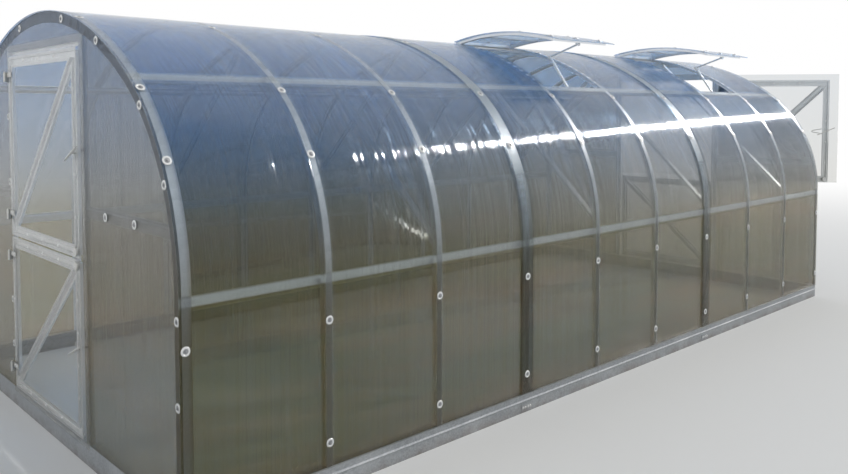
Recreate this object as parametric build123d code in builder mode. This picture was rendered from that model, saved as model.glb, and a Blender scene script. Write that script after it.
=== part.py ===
"""Arched polycarbonate greenhouse: straight side walls, two-radius roof, stable doors in both
gables and two propped roof vents. X runs along the house from the front gable, Z is up and the
origin is under the middle of the front base rail."""
from build123d import *
from math import acos, asin, atan2, cos, degrees, hypot, radians, sin, sqrt
import os

# Overall sizes
length = 6000
width = 3000
height = 2150
shoulder_radius = 1050
shoulder_angle = 55
bay_count = 9
bays_per_sheet = 3

# Cover sheets
sheet_thickness = 4
sheet_lap = 50
eaves_overhang = 8

# Bent steel sections
steel = 1.2
section_width = 60
section_crown = 32
section_depth = 20
seat_gap = 0.3
cut_spare = 1

# Base rails
base_height = 105
base_flange = 48
base_foot = 40
base_lip = 12
base_bead_height = 64
base_bead_depth = 5
base_bead_reach = 8
base_plate_long = 90
base_plate_tall = 40
base_plate_thick = 2

# End arches are angles with one leg in the gable plane
end_leg_out = 12
end_leg_in = 29
end_leg_drop = 60

# Purlins
mid_purlin_drop = 33
upper_purlin_angle = 54

# Doorways and door leaves
doorway_width = 1020
doorway_drop = 195
door_split = 965
door_gap = 8
leaf_standoff = 6
leaf_edge_lap = 80
leaf_top_lap = 55
rear_upper_angle = 143
hinge_offset = 20
hinge_radius = 7
hinge_pin_radius = 4
hinge_running = 0.05
hinge_knuckle = 26
hinge_inset = 110
crossbar_height = 1190

# Turn buttons and levers on the free stile of each leaf
latch_radius = 20
latch_depth = 7
latch_wing = 50
latch_wing_wide = 15
latch_pin_radius = 4
latch_hole_gap = 0.5
latch_tongue = 62
latch_tongue_wide = 20
latch_tongue_thick = 3
lever_rod = 9
lever_long = 172
lever_angle = 24
lever_stand = 16
lever_loop_rod = 6
lever_loop_long = 150
lever_loop_tall = 56
lever_loop_bend = 8

# Roof vents
vent_bays = (4, 7)
vent_hinge_y = 250
vent_low_inset = 438
vent_side_gap = 6
vent_angle = 20
vent_lid_lap = 40
vent_hinge_spread = 400
vent_hinge_wide = 60
vent_barrel = 5
vent_plate = 44
trimmer_depth = 18
opener_bar = 3
opener_pin = 10
opener_wide = 30
opener_rod = 8
opener_arm = 6
opener_knee_y = 161
opener_knee_z = 225

# Braces inside the even arches
brace_width = 40
brace_depth = 20
brace_low_height = 1000
brace_high_y = 330

# Derived sizes
pitch = length / bay_count
half_width = width / 2
shoulder_centre_y = half_width - shoulder_radius
crown_radius = (shoulder_centre_y + shoulder_radius * cos(radians(shoulder_angle))) / cos(
    radians(shoulder_angle)
)
crown_centre_z = height - crown_radius
wall_height = crown_centre_z + (crown_radius - shoulder_radius) * sin(radians(shoulder_angle))
arch_inset = sheet_thickness
arch_inner = arch_inset + section_depth
gable_face = end_leg_out + sheet_thickness
mid_purlin_height = wall_height - mid_purlin_drop
doorway_top = height - doorway_drop
vent_low_y = half_width - vent_low_inset

os.makedirs("parts", exist_ok=True)


def arch_region(inset, foot, mode=Mode.ADD):
    """Fill the cross-section inside the outer skin, `inset` in from it and down to `foot`."""
    reach = half_width - inset
    shoulder = shoulder_radius - inset
    with BuildLine() as edge:
        Line((reach, foot), (reach, wall_height))
        CenterArc((shoulder_centre_y, wall_height), shoulder, 0, shoulder_angle)
        CenterArc(
            (0, crown_centre_z), crown_radius - inset, shoulder_angle, 180 - 2 * shoulder_angle
        )
        CenterArc((-shoulder_centre_y, wall_height), shoulder, 180 - shoulder_angle, shoulder_angle)
        Line((-reach, wall_height), (-reach, foot))
        Line((-reach, foot), (reach, foot))
    make_face(edge.edges(), mode=mode)


def arch_band(outer, inner, low_x, high_x, mode=Mode.ADD):
    """Extrude the strip between two insets along X, standing on the base rail."""
    with BuildSketch(Plane.YZ.offset(low_x)) as band:
        arch_region(outer, base_height)
        arch_region(inner, base_height - cut_spare, Mode.SUBTRACT)
    extrude(band.sketch, amount=high_x - low_x, mode=mode)


def skin_plane(side, angle, inset, x):
    """Plane across the house, `inset` under the skin where the skin's normal climbs at `angle`.

    Its y points straight out through the skin and its z along the house."""
    lean = radians(angle)
    if angle < shoulder_angle:
        centre_y, centre_z, radius = shoulder_centre_y, wall_height, shoulder_radius
    else:
        centre_y, centre_z, radius = 0, crown_centre_z, crown_radius
    reach = radius - inset
    origin = (x, side * (centre_y + reach * cos(lean)), centre_z + reach * sin(lean))
    return Plane(origin=origin, x_dir=(0, sin(lean), -side * cos(lean)), z_dir=(1, 0, 0))


def save(part, label):
    part.part.label = label
    export_step(part.part, f"parts/{label}.step")


def hat_section():
    """Top-hat section on the sketch plane: flanges on y = 0, crown towards -y."""
    with Locations((0, -steel / 2)):
        Rectangle(section_width, steel)
    with Locations((0, -section_depth / 2)):
        Rectangle(section_crown, section_depth)
    with Locations((0, -(section_depth - steel) / 2)):
        Rectangle(section_crown - 2 * steel, section_depth - steel, mode=Mode.SUBTRACT)


# Base rails
for side, inner_side, label in (
    (-1, Side.RIGHT, "base_rail_near"),
    (1, Side.LEFT, "base_rail_far"),
):
    with BuildPart() as base_rail:
        with BuildSketch(Plane.YZ.offset(steel - gable_face)) as section:
            wall = side * half_width
            bead = wall + side * base_bead_depth
            with BuildLine() as web:
                Polyline(
                    (wall - side * base_foot, 0),
                    (wall, 0),
                    (wall, base_bead_height - base_bead_reach),
                    (bead, base_bead_height),
                    (wall, base_bead_height + base_bead_reach),
                    (wall, base_height - steel / 2),
                )
                offset(amount=steel, side=inner_side, closed=True)
            make_face()
            with Locations((wall - side * (base_flange - base_lip) / 2, base_height - steel / 2)):
                Rectangle(base_flange + base_lip, steel)
        extrude(amount=length + 2 * (gable_face - steel))
    save(base_rail, label)

for face_x, inward, label in (
    (-gable_face, 1, "base_rail_front"),
    (length + gable_face, -1, "base_rail_rear"),
):
    with BuildPart() as base_rail:
        inner_width = width - 2 * (base_flange + seat_gap)
        with BuildSketch(Plane.XZ):
            with Locations((face_x + inward * steel / 2, base_height / 2)):
                Rectangle(steel, base_height)
        extrude(amount=half_width, both=True)
        with BuildSketch(Plane.XZ):
            for flange_z in (steel / 2, base_height - steel / 2):
                with Locations((face_x + inward * base_flange / 2, flange_z)):
                    Rectangle(base_flange, steel)
        extrude(amount=inner_width / 2, both=True)
    save(base_rail, label)

# Plates over the joints of the long base rails, below their bead
with BuildPart() as base_plates:
    for side in (-1, 1):
        plate_y = side * (half_width + seat_gap)
        for bay in range(bays_per_sheet, bay_count, bays_per_sheet):
            plate_z = (base_bead_height - base_bead_reach) / 2
            origin = (bay * pitch, plate_y, plate_z)
            with BuildSketch(Plane(origin=origin, x_dir=(1, 0, 0), z_dir=(0, side, 0))):
                RectangleRounded(base_plate_long, base_plate_tall, steel * 4)
            extrude(amount=base_plate_thick)
save(base_plates, "base_plates")

# Arches
for index in range(bay_count + 1):
    x = index * pitch
    with BuildPart() as arch:
        if index in (0, bay_count):
            out = -1 if index == 0 else 1
            low_x = min(x + out * end_leg_out, x - out * end_leg_in)
            face_x = x + out * end_leg_out
            arch_band(arch_inset, arch_inset + steel, low_x, low_x + end_leg_out + end_leg_in)
            leg_x = min(face_x, face_x - out * steel)
            arch_band(arch_inset, end_leg_drop, leg_x, leg_x + steel)
        else:
            half_crown = section_crown / 2
            half_hat = section_width / 2
            arch_band(arch_inset, arch_inner, x - half_crown, x + half_crown)
            arch_band(arch_inner - steel, arch_inner, x - half_hat, x + half_hat)
            arch_band(
                arch_inset + steel,
                arch_inner + cut_spare,
                x - half_crown + steel,
                x + half_crown - steel,
                Mode.SUBTRACT,
            )
    save(arch, f"arch_{index}")

# Purlins run inside the arches from gable to gable
purlin_start = steel - end_leg_out
purlin_length = length - 2 * purlin_start
curve_radius = shoulder_radius - arch_inner
curve_sag = curve_radius - sqrt(curve_radius**2 - (section_width / 2) ** 2)

with BuildPart() as mid_purlins:
    for side in (-1, 1):
        origin = (purlin_start, side * (half_width - arch_inner), mid_purlin_height)
        with BuildSketch(Plane(origin=origin, x_dir=(0, 0, -side), z_dir=(1, 0, 0))):
            hat_section()
        extrude(amount=purlin_length)
save(mid_purlins, "mid_purlins")

with BuildPart() as upper_purlins:
    for side in (-1, 1):
        inset = arch_inner + curve_sag + seat_gap
        with BuildSketch(skin_plane(side, upper_purlin_angle, inset, purlin_start)):
            hat_section()
        extrude(amount=purlin_length)
save(upper_purlins, "upper_purlins")

with BuildPart() as ridge_purlin:
    ridge_z = crown_centre_z + sqrt((crown_radius - arch_inner) ** 2 - (section_width / 2) ** 2)
    ridge_origin = (purlin_start, 0, ridge_z - seat_gap)
    with BuildSketch(Plane(origin=ridge_origin, x_dir=(0, 1, 0), z_dir=(1, 0, 0))):
        hat_section()
    extrude(amount=purlin_length)
save(ridge_purlin, "ridge_purlin")

# Straight braces across the shoulders of the even arches
for side, label in ((-1, "braces_near"), (1, "braces_far")):
    low = (side * (half_width - arch_inner), brace_low_height)
    high = (
        side * brace_high_y,
        crown_centre_z + sqrt((crown_radius - arch_inner) ** 2 - brace_high_y**2),
    )
    run = hypot(high[0] - low[0], high[1] - low[1])
    lean = degrees(atan2(high[1] - low[1], high[0] - low[0]))
    middle = ((low[0] + high[0]) / 2, (low[1] + high[1]) / 2)
    hollow = (middle[0] - side * steel * abs(sin(radians(lean))), middle[1] - steel)
    with BuildPart() as braces:
        for index in range(2, bay_count, 2):
            with BuildSketch(Plane.YZ.offset(index * pitch)):
                with Locations(middle):
                    Rectangle(run + brace_width, brace_depth, rotation=lean)
            extrude(amount=brace_width / 2, both=True)
            with BuildSketch(Plane.YZ.offset(index * pitch)):
                with Locations(hollow):
                    Rectangle(run + 2 * brace_width, brace_depth, rotation=lean)
            extrude(amount=brace_width / 2 - steel, both=True, mode=Mode.SUBTRACT)
        with BuildSketch(Plane.YZ) as inside:
            arch_region(arch_inner + seat_gap, base_height)
        extrude(inside.sketch, amount=length, mode=Mode.INTERSECT)
    save(braces, label)

# Cover sheets, each lapped over the one before it
skin_end = gable_face + eaves_overhang
vent_low_x = section_width / 2 + vent_side_gap
for number in range(bay_count // bays_per_sheet):
    first = number * bays_per_sheet * pitch
    last = first + bays_per_sheet * pitch
    is_first = number == 0
    is_last = last > length - 1
    body_low = -skin_end if is_first else first + sheet_lap + seat_gap
    body_high = length + skin_end if is_last else last + sheet_lap
    with BuildPart() as sheet:
        arch_band(0, sheet_thickness, body_low, body_high)
        if not is_first:
            arch_band(-sheet_thickness, 0, first - sheet_lap, body_low + 2 * sheet_thickness)
        for bay in vent_bays:
            if first < (bay + 0.5) * pitch < last:
                with BuildSketch(Plane.XY.offset(wall_height)):
                    with Locations(((bay + 0.5) * pitch, -(vent_hinge_y + vent_low_y) / 2)):
                        Rectangle(pitch - 2 * vent_low_x, vent_low_y - vent_hinge_y)
                extrude(amount=height, mode=Mode.SUBTRACT)
    save(sheet, f"cover_sheet_{number + 1}")


def gable_bars(bar):
    """Posts, cross bars and lintel of a gable, each `bar` wide, trimmed to the arch."""
    post_y = (doorway_width + section_width) / 2
    for side in (-1, 1):
        with Locations((side * post_y, (base_height + height) / 2)):
            Rectangle(bar, height - base_height)
        with Locations((side * (post_y + half_width) / 2, crossbar_height)):
            Rectangle(half_width - post_y, bar)
    with Locations((0, doorway_top + section_width / 2)):
        Rectangle(2 * post_y, bar)
    arch_region(arch_inset + steel + seat_gap, base_height, Mode.INTERSECT)


# Gables
jamb_edge = doorway_width / 2 + (section_width - section_crown) / 2
for label, out, face in (("front", -1, 0), ("rear", 1, length)):
    plate_x = face + out * (end_leg_out - steel)
    with BuildPart() as gable_frame:
        with BuildSketch(Plane.YZ.offset(plate_x)):
            gable_bars(section_crown)
        extrude(amount=-out * section_depth)
        with BuildSketch(Plane.YZ.offset(plate_x - out * section_depth)):
            gable_bars(section_width)
        extrude(amount=out * steel)
        with BuildSketch(Plane.YZ.offset(plate_x - out * steel)):
            gable_bars(section_crown - 2 * steel)
        extrude(amount=-out * section_depth, mode=Mode.SUBTRACT)
    save(gable_frame, f"{label}_gable_frame")

    with BuildPart() as gable_sheets:
        with BuildSketch(Plane.YZ.offset(face + out * end_leg_out)):
            arch_region(sheet_thickness + seat_gap, base_height)
            sill = doorway_top + (section_width - section_crown) / 2
            with Locations((0, sill / 2)):
                Rectangle(2 * jamb_edge, sill, mode=Mode.SUBTRACT)
            with Locations((-jamb_edge, height), (jamb_edge, height)):
                Rectangle(2 * seat_gap, 2 * (height - sill), mode=Mode.SUBTRACT)
        extrude(amount=out * sheet_thickness)
    save(gable_sheets, f"{label}_gable_sheets")

# Stable doors
axis_y = doorway_width / 2 + hinge_offset
axis_out = gable_face + leaf_standoff + sheet_thickness + hinge_radius + steel
frame_low_u = hinge_offset + door_gap
frame_high_u = hinge_offset + doorway_width - door_gap
leaf_back_w = -(axis_out - gable_face - leaf_standoff)
leaf_face_w = leaf_back_w + sheet_thickness
latch_u = frame_high_u - section_width / 2


def leaf_plane(out, angle):
    """Plane of a door leaf: x from the hinge axis across the leaf, y up, z out of the doorway."""
    turn = radians(angle)
    origin = ((length if out > 0 else 0) + out * axis_out, -out * axis_y, 0)
    return Plane(
        origin=origin,
        x_dir=(out * sin(turn), out * cos(turn), 0),
        z_dir=(out * cos(turn), -out * sin(turn), 0),
    )


def leaf_bars(bar, low_z, high_z):
    """Border and diagonal of a leaf, each `bar` wide on the centre lines of the section."""
    wide = frame_high_u - frame_low_u - section_width
    tall = high_z - low_z - section_width
    with Locations(((frame_low_u + frame_high_u) / 2, (low_z + high_z) / 2)):
        Rectangle(wide + bar, tall + bar)
        Rectangle(wide - bar, tall - bar, mode=Mode.SUBTRACT)
        Rectangle(hypot(wide, tall), bar, rotation=degrees(atan2(tall, wide)))


leaves = (
    ("front_lower", -1, base_height + door_gap, door_split - door_gap / 2, 0),
    ("front_upper", -1, door_split + door_gap / 2, doorway_top - door_gap, 0),
    ("rear_lower", 1, base_height + door_gap, door_split - door_gap / 2, 0),
    ("rear_upper", 1, door_split + door_gap / 2, doorway_top - door_gap, rear_upper_angle),
)
for label, out, low_z, high_z, angle in leaves:
    plane = leaf_plane(out, angle)
    is_upper = low_z > door_split
    inward = 1 if is_upper else -1
    latch_z = (low_z if is_upper else high_z) + inward * section_width / 2
    lever_z = (low_z + high_z) / 2
    with BuildPart() as leaf_frame:
        with BuildSketch(plane.offset(leaf_back_w)):
            leaf_bars(section_width, low_z, high_z)
        extrude(amount=-steel)
        with BuildSketch(plane.offset(leaf_back_w)):
            leaf_bars(section_crown, low_z, high_z)
        extrude(amount=-section_depth)
        with BuildSketch(plane.offset(leaf_back_w)):
            leaf_bars(section_crown - 2 * steel, low_z, high_z)
        extrude(amount=steel - section_depth, mode=Mode.SUBTRACT)
        with BuildSketch(plane.offset(leaf_back_w)):
            with Locations((latch_u, latch_z), (latch_u, lever_z)):
                Circle(latch_pin_radius + latch_hole_gap)
        extrude(amount=-section_depth, mode=Mode.SUBTRACT)
    save(leaf_frame, f"{label}_leaf_frame")

    sheet_low = low_z if is_upper else low_z - 3 * door_gap
    sheet_high = high_z + leaf_top_lap if is_upper else high_z
    sheet_low_u = hinge_offset - door_gap
    sheet_high_u = frame_high_u + leaf_edge_lap
    with BuildPart() as leaf_sheet:
        with BuildSketch(plane.offset(leaf_back_w)):
            with Locations(((sheet_low_u + sheet_high_u) / 2, (sheet_low + sheet_high) / 2)):
                Rectangle(sheet_high_u - sheet_low_u, sheet_high - sheet_low)
            with Locations((latch_u, latch_z), (latch_u, lever_z)):
                Circle(latch_pin_radius + latch_hole_gap, mode=Mode.SUBTRACT)
        extrude(amount=sheet_thickness)
    save(leaf_sheet, f"{label}_leaf_sheet")

    strap_high_u = frame_low_u + section_width
    with BuildPart() as leaf_hinges:
        for hinge_z in (low_z + hinge_inset, high_z - hinge_inset):
            axis_origin = plane.origin + (0, 0, hinge_z)
            with BuildSketch(plane.offset(leaf_face_w)):
                with Locations((strap_high_u / 2, hinge_z + hinge_knuckle / 2)):
                    Rectangle(strap_high_u, hinge_knuckle)
            extrude(amount=steel)
            with BuildSketch(Plane(origin=axis_origin, z_dir=(0, 0, 1))):
                Circle(hinge_radius)
            extrude(amount=hinge_knuckle)
            with BuildSketch(Plane(origin=axis_origin, z_dir=(0, 0, 1))):
                Circle(hinge_pin_radius + hinge_running)
            extrude(amount=hinge_knuckle, mode=Mode.SUBTRACT)
    save(leaf_hinges, f"{label}_hinges")

    with BuildPart() as latch:
        with BuildSketch(plane.offset(leaf_face_w + seat_gap)):
            with Locations((latch_u, latch_z)):
                Circle(latch_radius)
        extrude(amount=latch_depth, taper=8)
        with BuildSketch(plane.offset(leaf_face_w + seat_gap + latch_depth)):
            with Locations((latch_u, latch_z)):
                SlotOverall(latch_wing, latch_wing_wide, rotation=90)
        extrude(amount=-latch_depth / 2)
        with BuildSketch(plane.offset(leaf_face_w + seat_gap)):
            with Locations((latch_u, latch_z)):
                Circle(latch_pin_radius)
        extrude(amount=-(sheet_thickness + section_depth + 2 * seat_gap + latch_tongue_thick))
        with BuildSketch(plane.offset(leaf_back_w - section_depth - seat_gap)):
            with Locations((latch_u, latch_z + inward * (latch_tongue - latch_tongue_wide) / 2)):
                SlotOverall(latch_tongue, latch_tongue_wide, rotation=90)
        extrude(amount=-latch_tongue_thick)
        lever_w = leaf_face_w + seat_gap + lever_stand
        loop_w = leaf_back_w - section_depth - seat_gap - lever_loop_rod / 2
        with BuildLine(plane.offset(lever_w)) as lever:
            tip = (lever_long / 2 * cos(radians(lever_angle)), lever_long / 2 * sin(radians(lever_angle)))
            Line((latch_u - tip[0], lever_z - tip[1]), (latch_u + tip[0], lever_z + tip[1]))
        with BuildSketch(Plane(origin=lever.line @ 0, z_dir=lever.line % 0)):
            Circle(lever_rod / 2)
        sweep()
        with BuildSketch(plane.offset(lever_w)):
            with Locations((latch_u, lever_z)):
                Circle(latch_pin_radius)
        extrude(amount=loop_w - lever_w)
        with BuildLine(plane.offset(loop_w)) as loop:
            FilletPolyline(
                (latch_u, lever_z + lever_loop_tall / 2),
                (latch_u - lever_loop_long, lever_z),
                (latch_u, lever_z - lever_loop_tall / 2),
                radius=lever_loop_bend,
                close=True,
            )
        with BuildSketch(Plane(origin=loop.line @ 0, z_dir=loop.line % 0)):
            Circle(lever_loop_rod / 2)
        sweep()
    save(latch, f"{label}_latches")

for label, out in (("front", -1), ("rear", 1)):
    plane = leaf_plane(out, 0)
    with BuildPart() as gable_hinges:
        for _, leaf_out, low_z, high_z, _ in leaves:
            if leaf_out != out:
                continue
            for hinge_z in (low_z + hinge_inset, high_z - hinge_inset):
                middle_z = hinge_z - seat_gap - hinge_knuckle / 2
                depth = axis_out - gable_face
                with BuildSketch(plane.offset(-depth)):
                    with Locations((-section_crown / 2, middle_z)):
                        Rectangle(section_crown, hinge_knuckle)
                extrude(amount=2 * steel)
                with BuildSketch(plane.offset(-depth)):
                    with Locations((-hinge_radius / 2, middle_z)):
                        Rectangle(hinge_radius, hinge_knuckle)
                extrude(amount=depth)
                axis_origin = plane.origin + (0, 0, middle_z - hinge_knuckle / 2)
                with BuildSketch(Plane(origin=axis_origin, z_dir=(0, 0, 1))):
                    Circle(hinge_radius)
                extrude(amount=hinge_knuckle)
                with BuildSketch(Plane(origin=axis_origin, z_dir=(0, 0, 1))):
                    Circle(hinge_pin_radius)
                extrude(amount=2 * hinge_knuckle + leaf_standoff)
    save(gable_hinges, f"{label}_gable_hinges")

# Roof vents, propped open
hinge_z = crown_centre_z + sqrt(crown_radius**2 - vent_hinge_y**2) + leaf_standoff
lid_radius = crown_radius + leaf_standoff
lid_start = 90 + degrees(asin(vent_hinge_y / lid_radius))
lid_end = 90 + degrees(asin((vent_low_y + vent_lid_lap) / lid_radius))
frame_end = 90 + degrees(asin((vent_low_y - vent_side_gap) / lid_radius))
turn = radians(vent_angle)


def lid_strip(outer, inner, start, end):
    """Fill a strip of the lid's arc, given by two radii and two angles about the crown centre."""
    centre = (vent_hinge_y, crown_centre_z - hinge_z)
    with BuildLine() as edge:
        CenterArc(centre, outer, start, end - start)
        CenterArc(centre, inner, start, end - start)
        for angle in (radians(start), radians(end)):
            Line(
                (centre[0] + outer * cos(angle), centre[1] + outer * sin(angle)),
                (centre[0] + inner * cos(angle), centre[1] + inner * sin(angle)),
            )
    make_face(edge.edges())


def lid_to_house(radius, angle):
    """Place across the house and height of a point on the opened lid."""
    across = vent_hinge_y + radius * cos(radians(angle))
    up = crown_centre_z - hinge_z + radius * sin(radians(angle))
    return (
        -vent_hinge_y + across * cos(turn) + up * sin(turn),
        hinge_z - across * sin(turn) + up * cos(turn),
    )


def bar_between(start, end, radius, x):
    """Round bar in the plane across the house at `x`, with ends at two (y, z) points."""
    origin = (x, start[0], start[1])
    run = (0, end[0] - start[0], end[1] - start[1])
    with BuildSketch(Plane(origin=origin, x_dir=(1, 0, 0), z_dir=run)) as disc:
        Circle(radius)
    extrude(disc.sketch, amount=hypot(run[1], run[2]))


def cross_pin(centre, radius, x, wide):
    """Round pin along the house, centred at a (y, z) point."""
    with BuildSketch(Plane(origin=(x, *centre), x_dir=(0, 1, 0), z_dir=(1, 0, 0))) as disc:
        Circle(radius)
    extrude(disc.sketch, amount=wide / 2, both=True)


skin = degrees(steel / lid_radius)
bar_angle = degrees(section_crown / lid_radius)
bar_spare = frame_end - lid_start - bar_angle
for number, bay in enumerate(vent_bays):
    middle_x = (bay + 0.5) * pitch
    lid_width = pitch - 2 * vent_low_x + 4 * vent_side_gap
    frame_width = pitch - 2 * vent_low_x - 2 * vent_side_gap
    rail_x = (frame_width - section_crown) / 2
    lid_plane = Plane(
        origin=(middle_x, -vent_hinge_y, hinge_z),
        x_dir=(0, cos(turn), -sin(turn)),
        z_dir=(1, 0, 0),
    )
    with BuildPart() as lid_sheet:
        with BuildSketch(lid_plane):
            lid_strip(lid_radius + sheet_thickness, lid_radius, lid_start, lid_end)
        extrude(amount=lid_width / 2, both=True)
    save(lid_sheet, f"vent_{number + 1}_sheet")

    bar_starts = [lid_start + step * bar_spare / 3 for step in range(4)]
    lid_back = lid_radius - section_depth
    with BuildPart() as lid_frame:
        for way in (-1, 1):
            with BuildSketch(lid_plane.offset(way * rail_x)):
                lid_strip(lid_radius, lid_back, lid_start, frame_end)
            extrude(amount=section_crown / 2, both=True)
        for start in bar_starts:
            with BuildSketch(lid_plane):
                lid_strip(lid_radius, lid_back, start, start + bar_angle)
            extrude(amount=frame_width / 2, both=True)
        for way in (-1, 1):
            with BuildSketch(lid_plane.offset(way * rail_x)):
                lid_strip(lid_radius - steel, lid_back - cut_spare, lid_start + skin, frame_end - skin)
            extrude(amount=section_crown / 2 - steel, both=True, mode=Mode.SUBTRACT)
        for start in bar_starts:
            with BuildSketch(lid_plane):
                lid_strip(lid_radius - steel, lid_back - cut_spare, start + skin, start + bar_angle - skin)
            extrude(amount=frame_width / 2 - steel, both=True, mode=Mode.SUBTRACT)
    save(lid_frame, f"vent_{number + 1}_frame")

    # The opener stands on the upper purlin and carries the lid's last cross bar
    purlin_plane = skin_plane(-1, upper_purlin_angle, arch_inner + curve_sag + seat_gap, middle_x)
    foot_local = (section_crown / 2 + opener_pin + seat_gap, -(steel + opener_pin + seat_gap))
    foot = purlin_plane.from_local_coords(Vector(*foot_local))
    foot = (foot.Y, foot.Z)
    head_angle = bar_starts[opener_bar] + bar_angle / 2
    head = lid_to_house(lid_back - opener_pin - seat_gap, head_angle)
    knee = (foot[0] + opener_knee_y, foot[1] + opener_knee_z)
    with BuildPart() as opener:
        for centre in (foot, knee, head):
            cross_pin(centre, opener_pin, middle_x, opener_wide)
        bar_between(foot, knee, opener_rod, middle_x)
        bar_between(knee, head, opener_arm, middle_x)
    save(opener, f"vent_{number + 1}_opener")

with BuildPart() as vent_trimmers:
    for bay in vent_bays:
        start_x = bay * pitch + section_crown / 2 + seat_gap
        trimmer_run = pitch - section_crown - 2 * seat_gap
        high_angle = degrees(acos((vent_hinge_y - section_crown / 2) / crown_radius))
        low_y = vent_low_y + section_crown / 2 - shoulder_centre_y
        low_angle = degrees(acos(low_y / shoulder_radius))
        for angle in (high_angle, low_angle):
            plane = skin_plane(-1, angle, sheet_thickness + seat_gap, start_x)
            with BuildSketch(plane):
                with Locations((0, -trimmer_depth / 2)):
                    Rectangle(section_crown, trimmer_depth)
                with Locations((0, -(trimmer_depth + steel) / 2)):
                    Rectangle(section_crown - 2 * steel, trimmer_depth - steel, mode=Mode.SUBTRACT)
            extrude(amount=trimmer_run)
save(vent_trimmers, "vent_trimmers")

with BuildPart() as vent_hinges:
    for bay in vent_bays:
        for way in (-1, 1):
            x = (bay + 0.5) * pitch + way * vent_hinge_spread / 2
            barrel_y = -(vent_hinge_y - vent_barrel - seat_gap)
            barrel_reach = crown_radius + vent_barrel + seat_gap
            barrel_z = crown_centre_z + sqrt(barrel_reach**2 - barrel_y**2)
            cross_pin((barrel_y, barrel_z), vent_barrel, x, vent_hinge_wide)
            plate_angle = degrees(acos((vent_hinge_y - vent_plate / 2) / crown_radius))
            with BuildSketch(skin_plane(-1, plate_angle, -seat_gap, x)):
                with Locations((0, steel)):
                    Rectangle(vent_plate, 2 * steel)
            extrude(amount=vent_hinge_wide / 2, both=True)
save(vent_hinges, "vent_hinges")
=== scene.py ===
# %% [markdown]
# # An arched greenhouse of twin-wall sheets
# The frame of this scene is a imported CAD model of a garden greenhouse: bent steel arches,
# purlins and rails under clear sheets, with two stable doors and two roof vents. The solids
# give every main shape, so they stay as they are and only get better surfaces. What is too
# small for them, such as washers, screws and bolts, is made here and rides along with them.

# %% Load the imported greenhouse
import math

import bpy
import numpy as np
from mathutils import Matrix, Vector


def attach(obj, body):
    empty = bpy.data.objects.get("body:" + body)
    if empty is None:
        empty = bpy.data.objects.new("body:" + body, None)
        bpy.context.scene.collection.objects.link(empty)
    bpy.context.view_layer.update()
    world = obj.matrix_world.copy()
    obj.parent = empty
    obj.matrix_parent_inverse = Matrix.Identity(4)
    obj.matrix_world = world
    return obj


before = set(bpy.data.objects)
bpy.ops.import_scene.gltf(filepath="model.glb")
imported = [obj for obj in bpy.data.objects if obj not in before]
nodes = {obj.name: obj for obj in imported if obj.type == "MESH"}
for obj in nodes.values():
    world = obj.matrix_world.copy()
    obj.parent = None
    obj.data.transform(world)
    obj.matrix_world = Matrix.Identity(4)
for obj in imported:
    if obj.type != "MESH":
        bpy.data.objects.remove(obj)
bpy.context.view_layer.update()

# %% [markdown]
# ## Sizes of the house
# The roof's outline has a straight wall, a tight shoulder and a flat crown. Both arcs share
# a normal where they meet. The crown's centre lies under the ridge, so the slope of that
# normal gives the crown's radius, and the radius gives the height of the wall.

# %% House sizes
house_length = 6.0
half_width = 1.5
house_height = 2.15
bay_count = 9
bay = house_length / bay_count
shoulder_radius = 1.05
shoulder_climb = math.radians(55)
shoulder_y = half_width - shoulder_radius
crown_radius = shoulder_y / math.cos(shoulder_climb) + shoulder_radius
crown_z = house_height - crown_radius
wall_z = crown_z + (crown_radius - shoulder_radius) * math.sin(shoulder_climb)
sheet_thickness = 0.004
print("crown radius", round(crown_radius, 3), "m, wall up to", round(wall_z, 3), "m")

# %% [markdown]
# ## The camera's place
# The photograph is taken at eye height off the near corner, and it is cut out of a taller
# view, so the horizon lies high in it. A camera that only tilts would make the posts lean.
# This one tilts down by three degrees and lets a shift of the lens do the rest, which brings
# the base rail into the frame and keeps the posts upright to within a pixel or two.

# %% Camera
camera_place = (-1.3682, -4.2669, 1.6562)
camera_heading = 0.7532
camera_climb = -0.05
camera_lean = 0.0004
camera_lens = 33.914
camera_shift = -0.1022

ahead = np.array([
    math.sin(camera_heading) * math.cos(camera_climb),
    math.cos(camera_heading) * math.cos(camera_climb),
    math.sin(camera_climb),
])
level_right = np.cross(ahead, (0, 0, 1))
level_right /= np.linalg.norm(level_right)
level_up = np.cross(level_right, ahead)
camera_axes = np.eye(4)
camera_axes[:3, 0] = level_right * math.cos(camera_lean) + level_up * math.sin(camera_lean)
camera_axes[:3, 1] = level_up * math.cos(camera_lean) - level_right * math.sin(camera_lean)
camera_axes[:3, 2] = -ahead
camera_axes[:3, 3] = camera_place

camera = bpy.data.objects.new("camera", bpy.data.cameras.new("camera"))
camera.matrix_world = Matrix(camera_axes.tolist())
camera.data.lens = camera_lens
camera.data.shift_y = camera_shift
bpy.context.scene.collection.objects.link(camera)
bpy.context.scene.camera = camera
print("camera stands at", camera_place, "and looks along", ahead.round(3))

# %% [markdown]
# ## A low sun
# In the photograph a low sun stands beyond the far end and draws one bright line along the
# shoulder of the roof. A studio can keep that line and lose the glare, with one sun lamp from
# the same side that is a few times wider than the real sun.

# %% Sun
sun_side = Vector((0.90, -0.144, 0.42)).normalized()
sun_strength = 1.7
sun_width = math.radians(2.2)
sun_colour = (1.0, 0.975, 0.94)

sun = bpy.data.objects.new("low_sun", bpy.data.lights.new("low_sun", "SUN"))
sun.data.energy = sun_strength
sun.data.angle = sun_width
sun.data.color = sun_colour
sun.rotation_euler = (-sun_side).to_track_quat("-Z", "Y").to_euler()
bpy.context.scene.collection.objects.link(sun)
print("sun from", tuple(round(v, 2) for v in sun_side))

# %% [markdown]
# ## A pale surround
# An even pale surround fills the shadows. It is pure white only for what the camera, a mirror
# or a clear sheet looks at, so the background is white and the light on the house stays
# moderate. Such a choice is worked out by a tree of nodes, so the first two helpers add nodes.

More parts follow.
